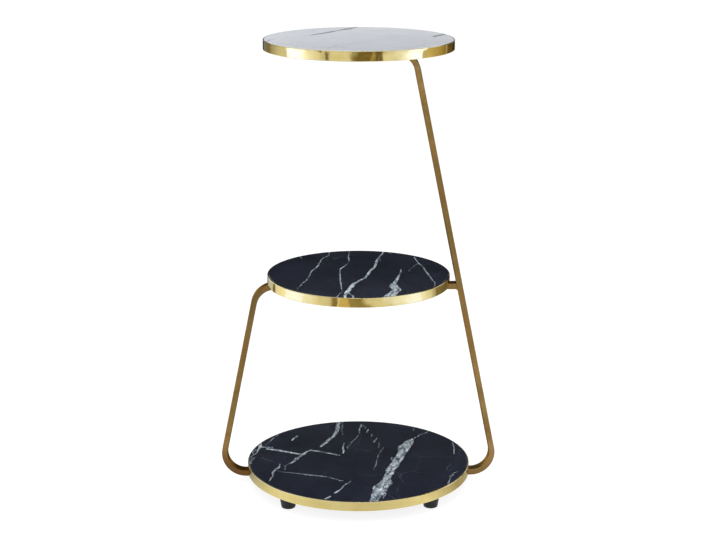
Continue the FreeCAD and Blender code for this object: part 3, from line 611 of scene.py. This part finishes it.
def moulded(name, dark, light, roughness, grain, depth):
    """Moulded rubber or plastic: fine even grain, faint flow marks and a dusty bloom."""
    s = material_shader(name)
    place = s.millimetres()
    fine = s.noise(place, grain, 2.0, 0.55)
    bloom = s.remap(s.noise(place, 18.0, 4.0, 0.6), 0.35, 0.7)
    flow = s.noise(s.vector("MULTIPLY", place, (1.0, 1.0, 4.0)), 6.0, 3.0, 0.6)
    colour = s.mix(bloom, dark, light)
    colour = s.mix(s.remap(flow, 0.4, 0.7, 0.0, 0.3), colour, light)
    rough = s.remap(fine, 0.3, 0.7, roughness - 0.06, roughness + 0.08)
    relief = s.bump(fine, depth)
    relief = s.bump(flow, depth, relief)
    return s.finish(Base_Color=colour, Roughness=rough, Normal=relief, Specular_IOR_Level=0.3)


MATERIALS = {
    "top_marble": white_marble("white_marble"),
    "middle_marble": black_marble("black_marble_middle", MIDDLE_VEINS, None),
    "bottom_marble": black_marble("black_marble_bottom", BOTTOM_VEINS, BOTTOM_CROSS_VEINS),
    "polished_gold": polished_gold(),
    "satin_gold": satin_gold(),
    "backing_panel": stained_panel(),
    "zinc_steel": turned_metal("zinc_steel", (0.36, 0.36, 0.35), (0.58, 0.58, 0.56), 0.32, 5.0),
    "insert_brass": turned_metal("insert_brass", (0.42, 0.31, 0.13), (0.62, 0.49, 0.25), 0.30, 6.0),
    "black_rubber": moulded("black_rubber", (0.007, 0.007, 0.008), (0.017, 0.017, 0.019), 0.50, 0.7, 0.03),
    "plug_plastic": moulded("plug_plastic", (0.016, 0.016, 0.017), (0.024, 0.024, 0.025), 0.42, 0.5, 0.02),
}

# Every CAD node wears the material of its slot, but each board has a marble of its own.
for part in frame["record"]["subparts"]:
    node = part["node"]
    key = part["material_slot"]
    if node.endswith("_board"):
        key = node.replace("_board", "_marble")
    dress(NODES[node], MATERIALS[key])


# ---------------------------------------------------------------------------------------------
# Weld beads where the mounting tabs meet the sides of the tubes
# ---------------------------------------------------------------------------------------------

TUBE_HALF_DEPTH = 10 * MM
BEAD_RADIUS = 1.7 * MM
BEAD_THINNEST = 0.05 * MM
BEAD_LENGTH = 24 * MM
BEAD_BLUNTNESS = 8
BEAD_STATIONS = 72
BEAD_ARC = 8

# The crescents of a bead: their pitch, their depth as a share of the radius, and how far they curl.
BEAD_PITCH = 1.9 * MM
BEAD_SHARE = 0.16
BEAD_CURL = 0.55


def tab_rows(node):
    """Where each tab's lower corner with the tube is: middle in x, side of the tube, and height."""
    places = [node.matrix_world @ vertex.co for vertex in node.data.vertices]
    height = min(place.z for place in places)
    ordered = sorted(place.x for place in places)
    gap = max(range(1, len(ordered)), key=lambda index: ordered[index] - ordered[index - 1])
    middles = [(group[0] + group[-1]) / 2 for group in (ordered[:gap], ordered[gap:])]
    return [(middle, side, height) for middle in middles for side in (-1, 1)]


def weld_bead(mesh, middle, side, corner_z):
    """A rippled bead in the corner under a tab, its crescents curling towards one end."""
    rows = []
    for station in range(BEAD_STATIONS + 1):
        share = station / BEAD_STATIONS
        x = middle + (share - 0.5) * BEAD_LENGTH
        swell = math.sqrt(max(0.0, 1 - abs(2 * share - 1) ** BEAD_BLUNTNESS))
        row = []
        for step in range(BEAD_ARC + 1):
            turn = math.pi / 2 * step / BEAD_ARC
            phase = x / BEAD_PITCH + BEAD_CURL * math.sin(2 * turn)
            ripple = 1 - BEAD_SHARE * (phase % 1.0) ** 2
            radius = BEAD_RADIUS * swell * ripple + BEAD_THINNEST
            y = side * (TUBE_HALF_DEPTH + radius * math.cos(turn))
            row.append(mesh.verts.new((x, y, corner_z - radius * math.sin(turn))))
        row.append(mesh.verts.new((x, side * TUBE_HALF_DEPTH, corner_z)))
        rows.append(row)
    count = len(rows[0])
    for first, second in zip(rows, rows[1:]):
        for index in range(count):
            after = (index + 1) % count
            mesh.faces.new((first[index], first[after], second[after], second[index]))
    mesh.faces.new(rows[0])
    mesh.faces.new(rows[-1])


def weld_beads(tier):
    """One piece for the four beads under a tier's tabs."""
    mesh = bmesh.new()
    for middle, side, corner_z in tab_rows(NODES[f"{tier}_mount_tabs"]):
        weld_bead(mesh, middle, side, corner_z)
    bmesh.ops.recalc_face_normals(mesh, faces=mesh.faces)
    data = bpy.data.meshes.new(f"{tier}_tab_welds")
    mesh.to_mesh(data)
    mesh.free()
    for face in data.polygons:
        face.use_smooth = len(face.vertices) == 4
    piece = link(bpy.data.objects.new(f"{tier}_tab_welds", data))
    dress(piece, MATERIALS["satin_gold"])
    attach(piece, "root")


for tier in TIERS:
    weld_beads(tier)


# ---------------------------------------------------------------------------------------------
# Studio: floor, world and lamps
# ---------------------------------------------------------------------------------------------

# The floor lies a hair under the feet, so that no two faces share a plane. What eyes see of it is
# paint, which takes the shadow, and glow, which makes the rest of it white.
FLOOR_REACH = 30.0
FLOOR_DROP = 0.0002
FLOOR_PAINT = (0.30, 0.30, 0.30)
FLOOR_GLOW = 0.85

# The world's strength for the light that falls on surfaces, and for eyes, where 1 is white.
WORLD_LIGHT = 0.60
WORLD_SEEN = 1.0

# Each lamp's place, width and height, and power in watts.
LAMP_TARGET = Vector((0.0, 0.0, 0.4))
LAMPS = {
    "lamp_overhead": ((0.0, -0.5, 2.6), (2.4, 2.0), 23.5),
    "lamp_left": ((-2.1, -1.5, 1.5), (1.0, 1.8), 22.0),
    "lamp_right": ((2.1, -1.3, 1.4), (1.0, 1.8), 18.0),
}


def mesh_object(name, vertices, faces):
    mesh = bpy.data.meshes.new(name)
    mesh.from_pydata(vertices, [], faces)
    mesh.update()
    return link(bpy.data.objects.new(name, mesh))


def seen_by_eye(shader):
    """1 for camera, mirror and glass rays, 0 for the light that falls on surfaces."""
    rays = shader.put("LightPath").outputs
    seen = shader.math("MAXIMUM", rays["Is Camera Ray"], rays["Is Glossy Ray"])
    return shader.math("MAXIMUM", seen, rays["Is Transmission Ray"])


def floor():
    """Large plain floor: matte for the light that falls on surfaces, white for eyes."""
    corners = [(-FLOOR_REACH, -FLOOR_REACH), (FLOOR_REACH, -FLOOR_REACH)]
    corners += [(FLOOR_REACH, FLOOR_REACH), (-FLOOR_REACH, FLOOR_REACH)]
    plane = mesh_object("studio_floor", [(x, y, -FLOOR_DROP) for x, y in corners], [(0, 1, 2, 3)])
    s = material_shader("studio_floor")
    grain = s.remap(s.noise(s.millimetres(), 60.0, 4.0, 0.6), 0.3, 0.7, 0.78, 0.80)
    shade = s.put("CombineColor", {0: grain, 1: grain, 2: grain}).outputs[0]
    matte = s.put("BsdfDiffuse", {"Color": shade})
    paint = s.put("BsdfDiffuse", {"Color": FLOOR_PAINT})
    glow = s.put("Emission", {"Color": (1, 1, 1), "Strength": FLOOR_GLOW})
    bright = s.put("AddShader", {0: paint.outputs[0], 1: glow.outputs[0]})
    surface = s.put("MixShader", {0: seen_by_eye(s), 1: matte.outputs[0], 2: bright.outputs[0]})
    s.put("OutputMaterial", {"Surface": surface.outputs[0]})
    dress(plane, s.owner)


def world():
    """Even white surroundings."""
    sky = bpy.data.worlds.new("studio")
    bpy.context.scene.world = sky
    s = Shader(sky)
    level = s.remap(seen_by_eye(s), 0, 1, WORLD_LIGHT, WORLD_SEEN)
    light = s.put("Background", {"Color": (1.0, 1.0, 1.0), "Strength": level})
    s.put("OutputWorld", {"Surface": light.outputs[0]})


def softbox(name, place, size, watts):
    """Area lamp that lights surfaces and shows neither to the camera nor in mirrors."""
    lamp = bpy.data.lights.new(name, "AREA")
    lamp.shape = "RECTANGLE"
    lamp.size, lamp.size_y = size
    lamp.energy = watts
    item = link(bpy.data.objects.new(name, lamp))
    item.location = place
    item.rotation_euler = (LAMP_TARGET - Vector(place)).to_track_quat("-Z", "Y").to_euler()
    item.visible_camera = False
    item.visible_glossy = False


# ---------------------------------------------------------------------------------------------
# Reflector panels, which show only in polished surfaces
# ---------------------------------------------------------------------------------------------

# Most panels stand in rings round the table, and each height serves what looks into it: the low
# ring the middle band, the high ring the top band, and the rest the tubes and the boards. A mat on
# the floor serves the bottom band, and a small one the left leg. A panel is its first and last
# bearing in degrees (0 is the camera's side, + is to its right), then the brightness and colour of
# each of those two ends.
PANEL_RADIUS = 0.80
PANEL_STEP = 4.0
MAT_HEIGHT = 0.0005

# Tints, from the cold ones of bright windows to the browns of dark corners, and the back's shade.
BRIGHT = (1.00, 1.15, 1.80)
HOT = (1.00, 1.12, 1.90)
PALE = (1.00, 1.08, 1.35)
PLAIN = (1.00, 1.00, 0.92)
SAND = (1.00, 0.90, 0.66)
BRONZE = (1.00, 0.82, 0.42)
BROWN = (1.00, 0.70, 0.15)
SHADE = (0.90, 0.96, 1.06)


def back(level):
    """The stretch behind the table, which the boards mirror."""
    return [(-210, -150, level, SHADE, level, SHADE)]


MIDDLE_BAND_ROWS = back(0.09) + [
    (-150, -127, 0.66, PLAIN, 0.80, PLAIN),
    (-127, -120.5, 0.22, BRONZE, 0.22, BRONZE),
    (-120, -97, 1.05, PLAIN, 1.45, PLAIN),
    (-97, -66, 1.55, BRIGHT, 1.55, BRIGHT),
    (-66, -46, 1.40, PALE, 1.10, PLAIN),
    (-46, -31.5, 1.05, PLAIN, 0.95, PLAIN),
    (-31.5, -24.5, 0.36, BRONZE, 0.34, BRONZE),
    (-24.5, -22, 1.05, PLAIN, 1.05, PLAIN),
    (-22, -12.5, 0.92, BRONZE, 0.84, BRONZE),
    (-12.5, 3, 0.46, BRONZE, 0.36, BRONZE),
    (3, 9, 0.60, BRONZE, 0.92, PLAIN),
    (9, 26, 1.00, PLAIN, 1.06, PLAIN),
    (26, 52, 1.14, PALE, 1.42, PALE),
    (52, 74, 1.50, BRIGHT, 1.50, BRIGHT),
    (74, 94, 1.40, PALE, 1.00, PLAIN),
    (94, 104, 0.85, PLAIN, 0.50, PLAIN),
    (104, 150, 0.32, BRONZE, 0.08, BROWN),
]
TOP_BAND_ROWS = back(0.03) + [
    (-150, -124, 0.25, PLAIN, 0.26, BRONZE),
    (-124, -106, 0.32, BRONZE, 0.80, PLAIN),
    (-106, -88.5, 0.84, PLAIN, 0.98, PLAIN),
    (-88.5, -82, 1.60, BRIGHT, 2.10, HOT),
    (-82, -67, 2.20, HOT, 2.20, HOT),
    (-67, -61, 2.15, HOT, 1.60, PALE),
    (-61, -45, 1.60, PALE, 1.12, PLAIN),
    (-45, -36.5, 1.02, PLAIN, 0.85, PLAIN),
    (-36, -32.5, 0.20, BRONZE, 0.20, BRONZE),
    (-32, -11, 1.08, PLAIN, 1.06, PLAIN),
    (-11, -7, 0.55, PLAIN, 0.30, BRONZE),
    (-7, 11.5, 0.25, BROWN, 0.17, BROWN),
    (11.5, 15, 0.58, BRONZE, 0.50, BROWN),
    (15, 24, 0.10, BROWN, 0.20, BROWN),
    (24.5, 46, 1.14, PLAIN, 1.32, PALE),
    (46, 54, 1.40, PALE, 1.60, BRIGHT),
    (54, 58, 1.65, BRIGHT, 2.20, HOT),
    (58, 72.4, 2.20, HOT, 2.20, HOT),
    (72.8, 84, 0.74, PLAIN, 0.90, BRONZE),
    (84, 117, 0.84, BRONZE, 0.36, BROWN),
    (118, 150, 0.18, BROWN, 0.04, BROWN),
]
BOTTOM_BAND_ROWS = [
    (-150, -104, 0.15, BRONZE, 0.17, BRONZE),
    (-104, -85, 0.17, BRONZE, 0.65, PLAIN),
    (-85, -60, 0.65, PLAIN, 1.13, PLAIN),
    (-60, -48, 1.13, PLAIN, 1.13, PLAIN),
    (-48, -30, 1.13, PLAIN, 0.98, PLAIN),
    (-30, -10, 0.98, PLAIN, 0.92, PLAIN),
    (-10, 14, 0.92, PLAIN, 0.92, PLAIN),
    (14, 44, 0.92, PLAIN, 1.16, PLAIN),
    (44, 60, 1.16, PLAIN, 0.83, PLAIN),
    (60, 75, 0.83, PLAIN, 0.55, SAND),
    (75, 150, 0.55, SAND, 0.33, BRONZE),
]


def surround(back_level, left, front, right):
    """Plain rows for tubes and boards: left and right sides, and a front of two ends."""
    return back(back_level) + [
        (-150, -60, left, PLAIN, left, PLAIN),
        (-60, -30, left, PLAIN, front[0], PLAIN),
        (-30, 45, front[0], PLAIN, front[1], PLAIN),
        (45, 60, front[1], PLAIN, right, PLAIN),
        (60, 150, right, PLAIN, right, PLAIN),
    ]


LOWER_TUBE_ROWS = back(0.09) + [
    (-150, -100, 1.50, PLAIN, 1.20, PLAIN),
    (-100, -60, 0.55, PLAIN, 0.55, PLAIN),
    (-60, -30, 0.55, PLAIN, 0.40, PLAIN),
    (-30, 0, 0.40, PLAIN, 0.46, PLAIN),
    (0, 12, 0.42, PLAIN, 0.44, PLAIN),
    (12, 45, 0.60, PLAIN, 0.72, PLAIN),
    (45, 60, 0.72, PLAIN, 0.55, PLAIN),
    (60, 100, 0.55, PLAIN, 0.55, PLAIN),
    (100, 150, 1.20, PLAIN, 1.50, PLAIN),
]
UPPER_TUBE_ROWS = back(0.03) + [
    (-150, -100, 1.50, PLAIN, 1.20, PLAIN),
    (-100, -60, 0.55, PLAIN, 0.55, PLAIN),
    (-60, -12, 0.55, PLAIN, 0.60, PLAIN),
    (-12, 22, 2.20, PLAIN, 2.40, PLAIN),
    (22, 60, 1.20, PLAIN, 0.55, PLAIN),
    (60, 100, 0.55, PLAIN, 0.55, PLAIN),
    (100, 150, 1.20, PLAIN, 1.50, PLAIN),
]

# How the ends of a ring's panels sway from its foot to its head: share of the height, lean to the
# right in degrees, and fan, which spreads them about a centre. Both are largest before the camera
# and fade within the reach. The bands mirror this as soft S shapes, like those of a real room.
FAN_CENTRE = -18.0
SWAY_REACH = 50.0
STRAIGHT = [(0.0, 0.0, 0.0), (1.0, 0.0, 0.0)]
TOP_BAND_SWAY = [
    (0.0, 1.6, 0.0), (0.29, 1.4, 0.0), (0.37, 0.1, 0.0), (0.43, -0.5, 0.0), (0.48, 0.2, 0.0),
    (0.53, 0.5, 0.0), (0.57, -1.2, 0.02), (0.605, -2.6, 0.14), (0.63, -2.6, 0.75), (1.0, -2.6, 0.9),
]
MIDDLE_BAND_SWAY = [
    (0.0, 0.0, 0.40), (0.36, 0.0, 0.36), (0.43, 0.0, 0.16), (0.50, 0.0, 0.03), (0.56, 0.4, 0.0),
    (0.62, -1.2, 0.0), (1.0, -1.2, 0.0),
]


def ring(low, high):
    """Edges of a ring that stands between two heights, each as radius and height."""
    return (PANEL_RADIUS, low), (PANEL_RADIUS, high)


def mat(inner, outer):
    """Edges of a mat that lies between two radii, each as radius and height."""
    return (inner, MAT_HEIGHT), (outer, MAT_HEIGHT)


# Each ring's or mat's edges, its panels, and how their ends sway.
PANELS = {
    "floor_mat": (mat(0.185, 0.46), BOTTOM_BAND_ROWS, STRAIGHT),
    "foot_panels": (ring(0.10, 0.13), LOWER_TUBE_ROWS, STRAIGHT),
    "low_panels": (ring(0.13, 0.22), MIDDLE_BAND_ROWS, MIDDLE_BAND_SWAY),
    "left_mat": (mat(0.97, 1.80), [(-24, -6, 0.05, PLAIN, 0.05, PLAIN)], STRAIGHT),
    "lower_panels": (ring(0.22, 0.49), LOWER_TUBE_ROWS, STRAIGHT),
    "upper_panels": (ring(0.49, 0.635), UPPER_TUBE_ROWS, STRAIGHT),
    "high_panels": (ring(0.635, 0.70), TOP_BAND_ROWS, TOP_BAND_SWAY),
    "top_panels": (ring(0.70, 0.865), surround(0.50, 0.20, (0.60, 1.00), 0.20), STRAIGHT),
    "crown_panels": (ring(0.865, 1.05), surround(0.15, 0.20, (0.60, 1.00), 0.20), STRAIGHT),
    "rear_panel": (ring(1.05, 2.40), back(0.05), STRAIGHT),
}


def swayed(bearing, lean, fan):
    """Bearing of a panel's end at one height: shifted, and fanned out, most before the camera."""
    shift = lean + fan * (bearing - FAN_CENTRE)
    return bearing + shift * math.exp(-((bearing / SWAY_REACH) ** 2))


def panel_mesh(name, near, far, rows, sway):
    """Mesh of the panels of a ring or mat, with their glow as a colour at each vertex."""
    vertices, faces, glows = [], [], []
    stack = len(sway)
    for first, last, first_level, first_tint, last_level, last_tint in rows:
        steps = max(1, round((last - first) / PANEL_STEP))
        start = len(vertices)
        for step in range(steps + 1):
            share = step / steps
            for rise, lean, fan in sway:
                bearing = math.radians(swayed(first + (last - first) * share, lean, fan))
                radius, height = (a + (b - a) * rise for a, b in zip(near, far))
                vertices.append((radius * math.sin(bearing), -radius * math.cos(bearing), height))
            ends = zip(first_tint, last_tint)
            glow = [a * first_level * (1 - share) + b * last_level * share for a, b in ends]
            glows += [(*glow, 1.0)] * stack
        for step in range(steps):
            for level in range(stack - 1):
                base = start + stack * step + level
                faces.append((base, base + stack, base + stack + 1, base + 1))
    panels = mesh_object(name, vertices, faces)
    layer = panels.data.color_attributes.new("glow", "FLOAT_COLOR", "POINT")
    for index, glow in enumerate(glows):
        layer.data[index].color = glow
    return panels


def reflectors(name, edges, rows, sway):
    """Ring or mat of glowing panels that only mirror rays meet."""
    near, far = edges
    panels = panel_mesh(name, near, far, rows, sway)
    s = material_shader(name)
    light = s.put("Emission", {"Color": s.put("Attribute", attribute_name="glow").outputs["Color"]})
    s.put("OutputMaterial", {"Surface": light.outputs[0]})
    dress(panels, s.owner)
    panels.visible_camera = False
    panels.visible_diffuse = False
    panels.visible_shadow = False
    panels.visible_transmission = False


# ---------------------------------------------------------------------------------------------
# Camera: focal length in pixels of an image of this width, place, and angles in radians. Heading
# is from +Y towards +X, pitch is downwards, and roll is the tilt of the image.
# ---------------------------------------------------------------------------------------------

IMAGE_WIDTH = 716
FOCAL_PIXELS = 1687.9
SENSOR = 36.0
FAR_CLIP = 100.0
CAMERA_PLACE = Vector((-0.0476, -2.7257, 1.1053))
CAMERA_HEADING = 0.01712
CAMERA_PITCH = 0.26172
CAMERA_ROLL = 0.00109


def camera():
    """The scene's camera, placed by the values above."""
    lens = bpy.data.cameras.new("camera")
    lens.sensor_fit = "HORIZONTAL"
    lens.sensor_width = SENSOR
    lens.lens = FOCAL_PIXELS / IMAGE_WIDTH * SENSOR
    lens.clip_end = FAR_CLIP
    level = Vector((math.sin(CAMERA_HEADING), math.cos(CAMERA_HEADING), 0))
    right = Vector((level.y, -level.x, 0))
    forward = level * math.cos(CAMERA_PITCH) - Vector((0, 0, math.sin(CAMERA_PITCH)))
    up = right.cross(forward)
    turned_right = right * math.cos(CAMERA_ROLL) + up * math.sin(CAMERA_ROLL)
    turned_up = up * math.cos(CAMERA_ROLL) - right * math.sin(CAMERA_ROLL)
    axes = Matrix((turned_right, turned_up, -forward)).transposed()
    item = link(bpy.data.objects.new("camera", lens))
    item.matrix_world = Matrix.Translation(CAMERA_PLACE) @ axes.to_4x4()
    bpy.context.scene.camera = item


floor()
world()
for lamp_name, (lamp_place, lamp_size, lamp_watts) in LAMPS.items():
    softbox(lamp_name, lamp_place, lamp_size, lamp_watts)
for panel_name, (panel_edges, panel_rows, panel_sway) in PANELS.items():
    reflectors(panel_name, panel_edges, panel_rows, panel_sway)
camera()
bpy.context.scene.view_settings.view_transform = "Standard"
